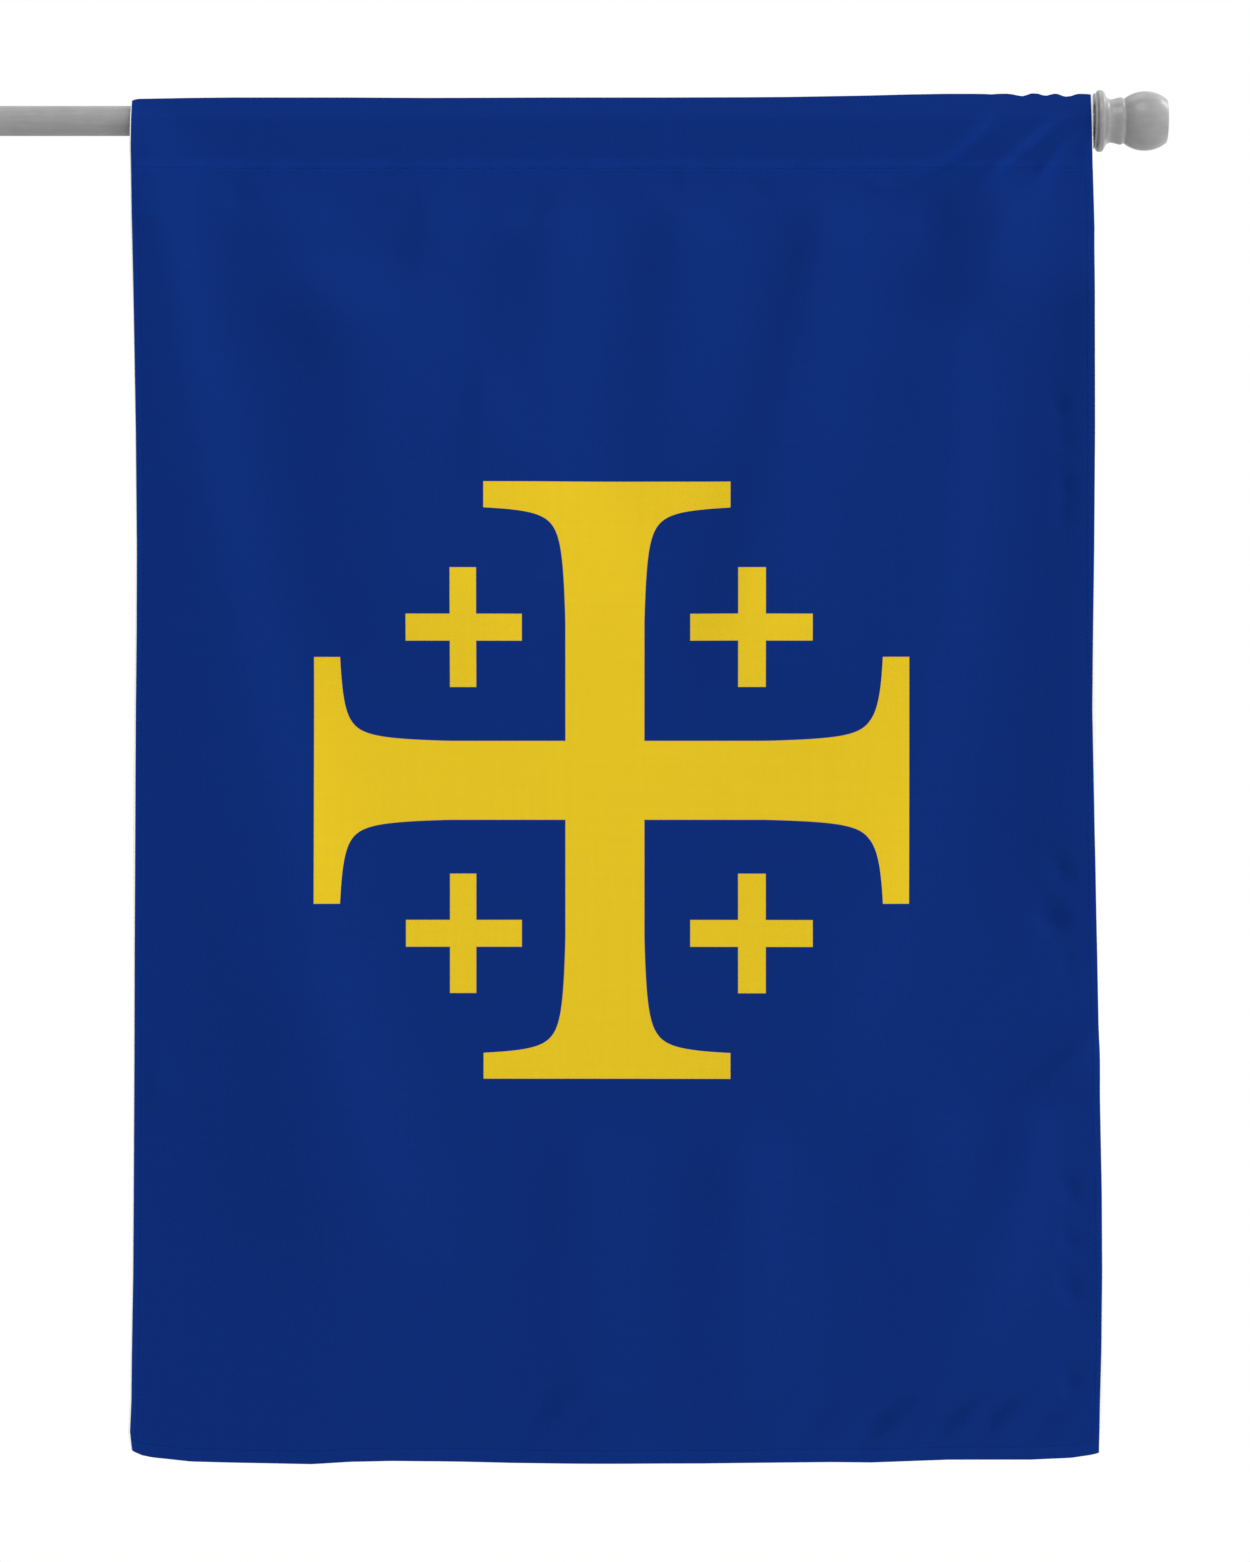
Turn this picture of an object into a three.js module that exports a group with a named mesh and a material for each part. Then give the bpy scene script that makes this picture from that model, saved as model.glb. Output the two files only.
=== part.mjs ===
// A house flag on a pole: a cloth with a sleeve and hems, a round pole and a turned finial.
// Millimetres. The origin is the centre of the pole's butt end, +X runs along the pole to
// the finial, +Z is up and the printed face of the cloth looks towards -Y.

import * as THREE from "three";

// The pole and the end that a bracket takes.
const POLE = { radius: 11, chamfer: 0.8, segments: 48 };

// The finial's place on the pole and the blind socket that the pole ends in.
const FINIAL = { start: 959.3, length: 54, socketDepth: 22, gap: 0.3, edge: 0.6, segments: 40 };

// The turned profile between the finial's base and its ball, measured from the base.
const TURNINGS = [
  { along: 0, radius: 19.9 },
  { along: 0.4, radius: 20.2 },
  { along: 1.6, radius: 20.2 },
  { along: 2.2, radius: 21.4 },
  { along: 3.3, radius: 22.4 },
  { along: 5.6, radius: 22.5 },
  { along: 7, radius: 21.7 },
  { along: 8, radius: 19.8 },
  { along: 8.9, radius: 18 },
  { along: 10, radius: 16.8 },
  { along: 12.1, radius: 15.9 },
  { along: 14.7, radius: 16.1 },
  { along: 17.6, radius: 16.9 },
  { along: 20.2, radius: 17.3 },
  { along: 21.8, radius: 16.5 },
];
const BALL = { centre: 37.9, halfLength: 23.4, radius: 21.7, start: 22.6, rings: 14 };

// The cloth: one sheet with a hem down each side and along the bottom.
const CLOTH = {
  left: 252,
  width: 711,
  thickness: 1.2,
  hemExtra: 0.8,
  bottomExtra: 1.2,
  sideHem: 7,
  bottomHem: 11,
  hemStep: 0.6,
  columns: 47,
  rows: 31,
};

// The sleeve: its inside clears the pole, its crown is a pressed crease and its two layers
// meet at the seam. The crease, the seam and the cloth below it hang in front of the pole's middle.
const SLEEVE = {
  clearance: 2,
  seamTop: -31.4,
  pocketFoot: -28.9,
  hangForward: 10,
  creaseForward: 12,
  turns: 6,
  slackFrom: 16,
  slackRun: 10,
};

// The seam from its foot to where the layers part, with the depth of the cloth each way.
const SEAM = [
  { height: -39, front: 0.6, back: 0.6 },
  { height: -38.4, front: 0.7, back: 2.6 },
  { height: -36, front: 0.8, back: 2.5 },
  { height: -34.6, front: 1.4, back: 2.7 },
  { height: SLEEVE.seamTop, front: 1.3, back: 2.4 },
];

// How far the two side edges stand to the right of a plain rectangle, going down.
const SIDES = [
  { down: -20, left: 2.2, right: -6.6 },
  { down: -8, left: 1.2, right: -6.3 },
  { down: 21, left: 0.7, right: -5.3 },
  { down: 51, left: 1.4, right: -4.3 },
  { down: 80, left: 1.5, right: -3.5 },
  { down: 139, left: 3.2, right: -4.2 },
  { down: 227, left: 4.7, right: -3.9 },
  { down: 315, left: 5.1, right: -4.4 },
  { down: 380, left: 4.5, right: -4.2 },
  { down: 433, left: 3.8, right: -3.6 },
  { down: 480, left: 3.2, right: -3.6 },
  { down: 521, left: 3, right: -4.1 },
  { down: 609, left: 3.1, right: -1.4 },
  { down: 698, left: 3, right: 0.3 },
  { down: 786, left: 2.4, right: 2.5 },
  { down: 845, left: 2, right: 3.3 },
  { down: 903, left: 0.8, right: 3.2 },
  { down: 940, left: 0.2, right: 2.7 },
  { down: 962, left: -1, right: 1.1 },
  { down: 973, left: 0.9, right: -0.1 },
  { down: 980, left: 2.4, right: -0.3 },
];

// How far the bottom edge hangs below the pole, going from left to right.
const BOTTOM = [
  { along: 0, drop: 976.2 },
  { along: 7, drop: 979.2 },
  { along: 14, drop: 980.7 },
  { along: 43, drop: 983.9 },
  { along: 73, drop: 984.6 },
  { along: 132, drop: 985.6 },
  { along: 190, drop: 983.1 },
  { along: 279, drop: 984.7 },
  { along: 380, drop: 985.1 },
  { along: 514, drop: 984.3 },
  { along: 573, drop: 983.5 },
  { along: 631, drop: 982.5 },
  { along: 690, drop: 981.2 },
  { along: 704, drop: 979.4 },
  { along: 711, drop: 978 },
];

// How high the crown of the sleeve stands over the pole's centre.
const CROWN = [
  { along: 0, height: 13.2 },
  { along: 5, height: 14.6 },
  { along: 43, height: 15.3 },
  { along: 100, height: 15.6 },
  { along: 220, height: 15.3 },
  { along: 396, height: 15.6 },
  { along: 455, height: 15.8 },
  { along: 514, height: 16.5 },
  { along: 573, height: 17.7 },
  { along: 602, height: 18.4 },
  { along: 711, height: 18.3 },
];

// The hanging folds, each from one height down to another along a bent path, with its crest's
// place from the left edge at the top, middle and foot, and how wide its flanks fall to either side.
const FOLDS = [
  { start: -20, end: -880, top: 12, middle: 84, foot: 194, left: 90, right: 46, depth: 8 },
  { start: -600, end: -1100, top: 120, middle: 150, foot: 190, left: 80, right: 70, depth: 3 },
  { start: -30, end: -190, top: 116, middle: 120, foot: 128, left: 50, right: 50, depth: 4.5 },
  { start: -90, end: -440, top: 142, middle: 186, foot: 196, left: 74, right: 120, depth: 9.5 },
  { start: -36, end: -340, top: 316, middle: 300, foot: 286, left: 60, right: 48, depth: 6 },
  { start: -36, end: -320, top: 408, middle: 400, foot: 394, left: 38, right: 60, depth: 6 },
  { start: -36, end: -460, top: 520, middle: 476, foot: 430, left: 36, right: 60, depth: 8 },
  { start: 0, end: -190, top: 668, middle: 634, foot: 610, left: 44, right: 34, depth: 14 },
  { start: -130, end: -760, top: 606, middle: 574, foot: 470, left: 110, right: 44, depth: 7 },
  { start: -80, end: -620, top: 722, middle: 718, foot: 708, left: 60, right: 40, depth: 12 },
  { start: -664, end: -728, top: 712, middle: 684, foot: 640, left: 18, right: 40, depth: 8 },
  { start: -720, end: -1100, top: 330, middle: 334, foot: 340, left: 52, right: 60, depth: 4.5 },
  { start: -720, end: -1000, top: 448, middle: 444, foot: 440, left: 50, right: 50, depth: 6.5 },
  { start: -700, end: -1000, top: 580, middle: 584, foot: 596, left: 60, right: 60, depth: 5 },
  { start: -700, end: -940, top: 664, middle: 636, foot: 586, left: 40, right: 32, depth: 6 },
];

// The longest runs over which a fold swells in and dies out, their shares of a short fold, and
// how narrow a fold starts and how fast it widens.
const RUN = { in: 60, out: 110, inShare: 0.4, outShare: 0.5, narrow: 0.45, widening: 0.88 };

// The share of their depth that the folds keep at the seam, and how far below it they are full.
const HELD = { share: 0.3, run: 50 };

// The slack pulled slantwise across the right end of the sleeve, and its open left mouth.
const PULLS = [
  { start: 8, end: -66, top: 698, middle: 668, foot: 624, left: 14, right: 12, depth: 4.5 },
  { start: 8, end: -60, top: 640, middle: 608, foot: 556, left: 14, right: 11, depth: 3 },
  { start: 18, end: -90, top: 2, middle: 4, foot: 10, left: 14, right: 40, depth: 7 },
];

const FINISHES = {
  cloth: { color: 0x0f2d77, roughness: 0.8, metalness: 0 },
  paint: { color: 0x949494, roughness: 0.4, metalness: 0 },
};

function tableAt(rows, key, column, at) {
  const next = rows.findIndex((row) => row[key] >= at);
  if (next === 0) {
    return rows[0][column];
  }
  if (next < 0) {
    return rows[rows.length - 1][column];
  }
  const a = rows[next - 1];
  const b = rows[next];
  const share = (at - a[key]) / (b[key] - a[key]);
  return a[column] + share * (b[column] - a[column]);
}

function smooth(share) {
  const held = Math.min(Math.max(share, 0), 1);
  return held * held * (3 - 2 * held);
}

// One fold's depth. It swells in and widens from its top, and dies out at its end.
function foldAt(fold, along, height) {
  const length = fold.start - fold.end;
  const share = (fold.start - height) / length;
  const bend = 2 * (fold.top + fold.foot - 2 * fold.middle);
  const crest = fold.top + share * (fold.foot - fold.top) + bend * share * (share - 1);
  const swelling = smooth((fold.start - height) / Math.min(RUN.in, RUN.inShare * length));
  const dying = smooth((height - fold.end) / Math.min(RUN.out, RUN.outShare * length));
  const flank = along < crest ? fold.left : fold.right;
  const width = flank * Math.min(RUN.narrow + RUN.widening * Math.max(share, 0), 1);
  return fold.depth * swelling * dying * Math.exp(-(((along - crest) / width) ** 2));
}

function sumOfFolds(folds, along, height) {
  return folds.reduce((sum, fold) => sum + foldAt(fold, along, height), 0);
}

// How far the slack swells the front of the sleeve and the cloth just below it.
function slackAt(along, height) {
  return smooth((SLEEVE.slackFrom - height) / SLEEVE.slackRun) * sumOfFolds(PULLS, along, height);
}

// How far the hanging cloth stands to the front. The seam holds it straight.
function panelSwell(along, height) {
  const grown = HELD.share + (1 - HELD.share) * smooth((SLEEVE.seamTop - height) / HELD.run);
  return SLEEVE.hangForward + grown * sumOfFolds(FOLDS, along, height) + slackAt(along, height);
}

function placeX(share, height) {
  const left = CLOTH.left + tableAt(SIDES, "down", "left", -height);
  const right = CLOTH.left + CLOTH.width + tableAt(SIDES, "down", "right", -height);
  return left + share * (right - left);
}

// Shares of the width for the columns, with a close pair at the inner edge of each hem.
function columnShares() {
  const hem = CLOTH.sideHem / CLOTH.width;
  const step = CLOTH.hemStep / CLOTH.width;
  const shares = [0, hem];
  for (let i = 0; i <= CLOTH.columns; i += 1) {
    shares.push(hem + step + (i / CLOTH.columns) * (1 - 2 * (hem + step)));
  }
  shares.push(1 - hem, 1);
  return shares;
}

function inSideHem(share) {
  const hem = CLOTH.sideHem / CLOTH.width;
  return share <= hem || share >= 1 - hem;
}

// One pair of points, front and back, at a height on the panel.
function panelPair(share, height, front, back) {
  const along = share * CLOTH.width;
  const x = placeX(share, height);
  const swell = panelSwell(along, height);
  const singleLayer = back <= CLOTH.thickness / 2;
  const hem = inSideHem(share) && singleLayer ? CLOTH.hemExtra : 0;
  return { outer: [x, -front - swell, height], inner: [x, back + hem - swell, height] };
}

// The pairs from the bottom edge up to the top of the seam.
function panelPairs(share) {
  const half = CLOTH.thickness / 2;
  const edge = -tableAt(BOTTOM, "along", "drop", share * CLOTH.width);
  const hemTop = edge + CLOTH.bottomHem;
  const thick = half + CLOTH.bottomExtra;
  const pairs = [
    panelPair(share, edge, half, thick),
    panelPair(share, hemTop - CLOTH.hemStep, half, thick),
  ];
  const foot = SEAM[0].height;
  for (let i = 0; i < CLOTH.rows; i += 1) {
    const height = hemTop + (i / CLOTH.rows) * (foot - hemTop);
    pairs.push(panelPair(share, height, half, half));
  }
  SEAM.forEach((row) => pairs.push(panelPair(share, row.height, row.front, row.back)));
  return pairs;
}

// Where the crown is creased, as its turn round the pole and its reach from the middle. Turn 0
// points straight down and the front comes first.
function creaseAt(along) {
  const crown = tableAt(CROWN, "along", "height", along);
  const turn = Math.PI - Math.atan2(SLEEVE.creaseForward, crown);
  return { turn, reach: Math.hypot(SLEEVE.creaseForward, crown) };
}

// The turns where cloth pulled taut from a foot touches a round in front and behind.
function touchTurns(foot, radius) {
  const towards = Math.atan2(-foot[1], -foot[2]);
  const spread = Math.acos(radius / Math.hypot(foot[1], foot[2]));
  return { first: towards + spread, last: 2 * Math.PI + towards - spread };
}

// A point of the sleeve's ring, which lies round the pole and runs straight up to its crease.
function ringPoint(x, turn, radius, crease) {
  const taut = Math.acos((POLE.radius + SLEEVE.clearance + CLOTH.thickness) / crease.reach);
  const beside = Math.abs(turn - crease.turn);
  const reach = radius / Math.cos(Math.max(taut - beside, 0));
  return [x, -reach * Math.sin(turn), -reach * Math.cos(turn)];
}

function withSlack(point, along, inFront) {
  return [point[0], point[1] - (inFront ? slackAt(along, point[2]) : 0), point[2]];
}

// The turns of the ring's points, from the front touch over the crease to the back touch.
function ringTurns(first, crease, last) {
  const front = [];
  const back = [];
  for (let i = 0; i < SLEEVE.turns; i += 1) {
    const share = i / SLEEVE.turns;
    front.push(first + share * (crease - first));
    back.push(last + share * (crease - last));
  }
  return [...front, crease, ...back.reverse()];
}

function sleevePairs(share, seam) {
  const along = share * CLOTH.width;
  const x = placeX(share, 0);
  const inside = POLE.radius + SLEEVE.clearance;
  const outside = inside + CLOTH.thickness;
  const crease = creaseAt(along);
  const middle = (seam.outer[1] + seam.inner[1]) / 2;
  const tail = [placeX(share, SLEEVE.pocketFoot), middle, SLEEVE.pocketFoot];
  const { first, last } = touchTurns([x, middle, SLEEVE.seamTop], outside);
  const pairs = ringTurns(first, crease.turn, last).map((turn) => {
    const inFront = turn < crease.turn;
    const outer = withSlack(ringPoint(x, turn, outside, crease), along, inFront);
    const inner = withSlack(ringPoint(x, turn, inside, crease), along, inFront);
    return { outer, inner };
  });
  return { tail, pairs };
}

// Every point of one section, and how the panel and the sleeve pair up in it.
function sectionAt(share) {
  const panel = panelPairs(share);
  const sleeve = sleevePairs(share, panel[panel.length - 1]);
  return {
    outer: [
      ...panel.map((pair) => pair.outer),
      ...sleeve.pairs.map((pair) => pair.outer),
      ...panel.map((pair) => pair.inner).reverse(),
    ],
    inner: [sleeve.tail, ...sleeve.pairs.map((pair) => pair.inner)],
    panelCount: panel.length,
    ringCount: sleeve.pairs.length,
  };
}

// Quads of one end, as corner lists in the order of the section's own numbering.
function capFaces(section) {
  const { panelCount, ringCount } = section;
  const outerCount = section.outer.length;
  const inner = (i) => outerCount + i;
  const faces = [];
  for (let i = 0; i + 1 < panelCount; i += 1) {
    faces.push([i, outerCount - 1 - i, outerCount - 2 - i, i + 1]);
  }
  const front = panelCount - 1;
  const back = outerCount - panelCount;
  faces.push([front, back, inner(0)]);
  faces.push([front, inner(0), inner(1), front + 1]);
  for (let i = 1; i < ringCount; i += 1) {
    faces.push([front + i, inner(i), inner(i + 1), front + i + 1]);
  }
  faces.push([front + ringCount, inner(ringCount), inner(0), back]);
  return faces;
}

// Faces between two sections: the outside skin, then the skin inside the sleeve.
function skinFaces(first, second, outerCount, innerCount) {
  const faces = [];
  for (let i = 0; i < outerCount; i += 1) {
    const j = (i + 1) % outerCount;
    faces.push([first + i, second + i, second + j, first + j]);
  }
  for (let i = 0; i < innerCount; i += 1) {
    const j = (i + 1) % innerCount;
    const a = first + outerCount;
    const b = second + outerCount;
    faces.push([a + i, a + j, b + j, b + i]);
  }
  return faces;
}

function clothGeometry() {
  const sections = columnShares().map(sectionAt);
  const outerCount = sections[0].outer.length;
  const innerCount = sections[0].inner.length;
  const size = outerCount + innerCount;
  const points = sections.flatMap((section) => [...section.outer, ...section.inner]);
  const faces = [];
  for (let i = 0; i + 1 < sections.length; i += 1) {
    faces.push(...skinFaces(i * size, (i + 1) * size, outerCount, innerCount));
  }
  const last = (sections.length - 1) * size;
  const cap = capFaces(sections[0]);
  cap.forEach((face) => faces.push([...face].reverse()));
  cap.forEach((face) => faces.push(face.map((corner) => last + corner)));
  return geometryFrom(points, faces);
}

function geometryFrom(points, faces) {
  const index = [];
  faces.forEach((face) => {
    for (let i = 1; i + 1 < face.length; i += 1) {
      index.push(face[0], face[i], face[i + 1]);
    }
  });
  const geometry = new THREE.BufferGeometry();
  geometry.setAttribute("position", new THREE.Float32BufferAttribute(points.flat(), 3));
  geometry.setIndex(index);
  geometry.computeVertexNormals();
  return geometry;
}

// A profile of places along the pole and radii, turned round the pole's axis.
function turned(profile, segments) {
  const points = profile.map((row) => new THREE.Vector2(row.radius, row.along));
  return new THREE.LatheGeometry(points, segments).rotateZ(-Math.PI / 2);
}

function poleGeometry() {
  const end = FINIAL.start + FINIAL.socketDepth - FINIAL.gap;
  const { radius, chamfer, segments } = POLE;
  const profile = [
    { along: 0, radius: 0 },
    { along: 0, radius: radius - chamfer },
    { along: chamfer, radius },
    { along: end - chamfer, radius },
    { along: end, radius: radius - chamfer },
    { along: end, radius: 0 },
  ];
  return turned(profile, segments);
}

function ballProfile() {
  const rows = [];
  const last = FINIAL.length - FINIAL.edge;
  const angleAt = (along) => Math.acos((BALL.centre - along) / BALL.halfLength);
  const first = angleAt(BALL.start);
  for (let i = 0; i <= BALL.rings; i += 1) {
    const angle = first + (i / BALL.rings) * (angleAt(last) - first);
    const along = BALL.centre - BALL.halfLength * Math.cos(angle);
    rows.push({ along, radius: BALL.radius * Math.sin(angle) });
  }
  return rows;
}

function finialGeometry() {
  const socket = POLE.radius + FINIAL.gap;
  const ball = ballProfile();
  const rim = ball[ball.length - 1].radius - FINIAL.edge;
  const profile = [
    { along: FINIAL.socketDepth, radius: 0 },
    { along: FINIAL.socketDepth, radius: socket },
    { along: 0, radius: socket },
    ...TURNINGS,
    ...ball,
    { along: FINIAL.length, radius: rim },
    { along: FINIAL.length, radius: 0 },
  ];
  return turned(profile, FINIAL.segments).translate(FINIAL.start, 0, 0);
}

function namedMesh(name, geometry, finish) {
  const mesh = new THREE.Mesh(geometry, new THREE.MeshStandardMaterial(finish));
  mesh.name = name;
  return mesh;
}

const group = new THREE.Group();
group.name = "house_flag";
group.add(namedMesh("flag_cloth", clothGeometry(), FINISHES.cloth));
group.add(namedMesh("pole", poleGeometry(), FINISHES.paint));
group.add(namedMesh("finial", finialGeometry(), FINISHES.paint));

export default group;
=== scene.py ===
"""A house flag on a pole: printed cloth with a sleeve and hems, its sewing, the painted pole and
finial, and the studio that shows them. The tables are in millimetres, the objects in metres."""

import math
from collections import namedtuple

import bpy
import numpy as np
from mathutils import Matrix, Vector


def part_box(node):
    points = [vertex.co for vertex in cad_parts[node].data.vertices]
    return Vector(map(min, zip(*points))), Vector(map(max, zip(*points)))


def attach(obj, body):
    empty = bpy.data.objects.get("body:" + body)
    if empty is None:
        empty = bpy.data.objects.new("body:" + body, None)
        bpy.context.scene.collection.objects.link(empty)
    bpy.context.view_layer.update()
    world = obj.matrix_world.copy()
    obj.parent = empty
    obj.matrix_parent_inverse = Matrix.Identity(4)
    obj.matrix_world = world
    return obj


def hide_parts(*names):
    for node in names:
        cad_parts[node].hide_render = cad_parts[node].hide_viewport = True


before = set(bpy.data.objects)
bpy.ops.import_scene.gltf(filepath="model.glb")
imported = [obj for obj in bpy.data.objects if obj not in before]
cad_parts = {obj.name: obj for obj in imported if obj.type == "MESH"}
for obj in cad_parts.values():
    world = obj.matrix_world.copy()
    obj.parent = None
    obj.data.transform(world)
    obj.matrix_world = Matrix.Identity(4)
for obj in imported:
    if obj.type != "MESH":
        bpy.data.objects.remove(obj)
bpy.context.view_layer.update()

MM = 0.001
MATH = "ShaderNodeMath"

# What the picture takes in at the cloth: its height, and its middle from the origin.
PICTURE_HEIGHT = 1148.1
PICTURE_ACROSS = 615.1
PICTURE_DOWN = 485.1
LENS = 110
SENSOR = 36

# The cloth's left edge and width, one layer's thickness, its hems and its seam. A hem's
# thickness falls away over its step. At a side it reaches a little further in than the
# unprinted back of the hem.
CLOTH_LEFT = 252
CLOTH_WIDTH = 711
LAYER = 0.42
SIDE_HEM = 7
SIDE_HEM_END = 7.4
TURNED_IN = 7.2
BOTTOM_HEM = 11
HEM_STEP = 0.6
SEAM_TOP = -30.9
SEAM_FOOT = -39.3
SEAM_STITCH = -36
HEM_STITCH = 9.6
SIDE_STITCH = 5.7

# How far in front of the pole's middle the seam and the cloth below it hang.
HANG_FORWARD = 10

# The sleeve round the pole: how far in front of the pole's middle its crown is creased, the
# points that its section has on either side of the crease, which crowd towards it, and how
# far over the seam its layers part.
SLEEVE_RADIUS = 13.8
CREASE_FORWARD = 12
RING_POINTS = 15
RING_CROWDING = 1.5
PARTING = 1

# The shares of the way at which the sleeve has points between its seam and its round.
RISE_SHARES = (0.1, 0.24, 0.38, 0.52, 0.66, 0.8, 0.91)
FALL_SHARES = (0.28, 0.55, 0.8)

Side = namedtuple("Side", "down left right left_margin right_margin")
Bottom = namedtuple("Bottom", "along drop")
Crown = namedtuple("Crown", "along height")
Fold = namedtuple("Fold", "start end top middle foot left right depth")
Pucker = namedtuple("Pucker", "along down wide tall lean depth")
SeamRow = namedtuple("SeamRow", "height front back")
HemRow = namedtuple("HemRow", "up front back")
Turning = namedtuple("Turning", "along radius")
Drift = namedtuple("Drift", "across shift")
Light = namedtuple("Light", "name place size power")
Sewing = namedtuple("Sewing", "along height along_end height_end front back")

# Where the print ends at either side, to the right of a plain rectangle, and how much
# unprinted cloth shows outside it.
SIDES = [
    Side(-20, 2.4, -6.7, 0.2, 1.1),
    Side(-8, 1.7, -6.4, 0.5, 1.3),
    Side(21, 1.5, -5.5, 0.8, 0.6),
    Side(51, 1.9, -4.5, 0.5, 0.2),
    Side(80, 2.4, -3.7, 0.9, 0.2),
    Side(139, 3.6, -4.5, 0.4, 0.3),
    Side(227, 5, -4.4, 0.3, 0.5),
    Side(315, 5.7, -5.1, 0.6, 0.7),
    Side(380, 5.4, -6, 0.9, 1.8),
    Side(433, 4.8, -6.5, 1.0, 2.9),
    Side(480, 4.5, -5.6, 1.3, 2.0),
    Side(521, 4.3, -4.8, 1.3, 0.7),
    Side(609, 3.8, -1.8, 0.7, 0.4),
    Side(698, 3.5, -0.1, 0.5, 0.4),
    Side(786, 3, 1.6, 0.6, 0.9),
    Side(845, 2.6, 1.9, 0.6, 1.4),
    Side(903, 1.6, 1.3, 0.8, 1.9),
    Side(940, 1.2, 0.3, 1.0, 2.4),
    Side(962, 0.2, -0.1, 1.2, 1.2),
    Side(973, 1.5, -0.4, 0.6, 0.3),
    Side(980, 2.6, -0.4, 0.2, 0.1),
]

# How far the bottom edge hangs below the pole.
BOTTOM = [
    Bottom(0, 975.6),
    Bottom(2, 977),
    Bottom(7, 979.3),
    Bottom(14, 980.8),
    Bottom(43, 983.9),
    Bottom(73, 984.6),
    Bottom(132, 985.5),
    Bottom(160, 983.7),
    Bottom(190, 983.1),
    Bottom(235, 983.7),
    Bottom(279, 984.7),
    Bottom(330, 984.9),
    Bottom(420, 985.2),
    Bottom(514, 984.3),
    Bottom(543, 984.6),
    Bottom(573, 983.5),
    Bottom(600, 982.5),
    Bottom(660, 982.5),
    Bottom(690, 981.2),
    Bottom(704, 979.2),
    Bottom(709, 978.1),
    Bottom(711, 977.2),
]

# How high the sleeve's crown stands over the pole's centre, with the small scallops that
# the pull at its right end makes.
CROWN = [
    Crown(0, 13.2),
    Crown(2, 14),
    Crown(5, 14.6),
    Crown(43, 15.3),
    Crown(73, 15.6),
    Crown(160, 15.6),
    Crown(220, 15.3),
    Crown(310, 15.6),
    Crown(396, 15.6),
    Crown(455, 15.8),
    Crown(485, 16),
    Crown(514, 16.5),
    Crown(543, 17),
    Crown(573, 17.8),
    Crown(602, 18.3),
    Crown(621.3, 18.3),
    Crown(630.9, 18.2),
    Crown(636.1, 17.9),
    Crown(641.3, 18.3),
    Crown(647.2, 18.4),
    Crown(650.9, 18.1),
    Crown(654.6, 17.3),
    Crown(659.1, 16.5),
    Crown(662.8, 17.6),
    Crown(665.8, 18.6),
    Crown(668.7, 18.6),
    Crown(671.7, 18.2),
    Crown(673.9, 17.3),
    Crown(676.9, 16.9),
    Crown(679.8, 17.7),
    Crown(682.8, 18.4),
    Crown(685.7, 18.2),
    Crown(688.7, 16.8),
    Crown(691.7, 16.1),
    Crown(694.6, 16.5),
    Crown(697.6, 17.6),
    Crown(700.6, 18.3),
    Crown(706.5, 18.2),
    Crown(710.2, 17.8),
    Crown(711, 17.8),
]

# The hanging folds, each from one height down to another along a bent path, with its crest's
# place from the left edge at the top, middle and foot, and how wide its flanks fall to either side.
FOLDS = [
    Fold(-20, -880, 12, 84, 194, 90, 46, 8),
    Fold(-600, -1100, 120, 150, 190, 80, 70, 3),
    Fold(-30, -190, 116, 120, 128, 50, 50, 4.5),
    Fold(-90, -440, 142, 186, 196, 74, 120, 9.5),
    Fold(-34, -150, 222, 218, 212, 16, 34, 3),
    Fold(-160, -280, 258, 256, 252, 12, 30, 1.8),
    Fold(-36, -340, 316, 300, 286, 60, 48, 6),
    Fold(-36, -320, 408, 400, 394, 38, 60, 6),
    Fold(-36, -460, 520, 476, 430, 36, 60, 8),
    Fold(0, -190, 668, 634, 610, 44, 34, 14),
    Fold(-130, -760, 606, 574, 470, 110, 44, 7),
    Fold(-80, -620, 722, 718, 708, 60, 40, 12),
    Fold(-664, -728, 712, 684, 640, 18, 40, 8),
    Fold(-720, -1100, 330, 334, 340, 52, 60, 4.5),
    Fold(-720, -1000, 448, 444, 440, 50, 50, 6.5),
    Fold(-700, -1000, 580, 584, 596, 60, 60, 5),
    Fold(-700, -940, 664, 636, 586, 40, 32, 6),
]

# How far a fold takes to swell in and die out, which is a share of its length if that is
# less, and how it widens from its top.
RUN_IN = 60
RUN_OUT = 110
RUN_IN_SHARE = 0.4
RUN_OUT_SHARE = 0.5
NARROW_TOP = 0.45
WIDENING = 0.88

# How much of the folds' depth the seam leaves, and how far below it they are free.
HELD_SHARE = 0.3
HELD_RUN = 50

# The slack pulled slantwise across the right end of the sleeve, and its open left mouth.
PULLS = [
    Fold(8, -66, 697, 650, 611, 12, 10, 7),
    Fold(-2, -76, 709, 675, 662, 9, 9, 4),
    Fold(8, -60, 640, 608, 556, 14, 11, 5),
    Fold(18, -90, 2, 4, 10, 14, 40, 7),
]
SLACK_FROM = 16
SLACK_RUN = 10

# The waves that make up an uneven one, by their pace and by how much a turn shifts them.
WAVES = ((1, 1), (0.618, 2.1), (1.73, 3.7))

# Slow uneven swellings of the hanging cloth and of the sleeve, by depth, width and height,
# and how far over the seam the sleeve's are free.
PANEL_RIPPLE = (0.35, 84, 130)
SLEEVE_RIPPLE = (0.25, 46, 38)
SLEEVE_RIPPLE_RUN = 12

# The fine gathers along a row of sewing: their depth, their length and how far they reach.
GATHER_DEPTH = 0.16
GATHER_LENGTH = 11
GATHER_REACH = 9

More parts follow.
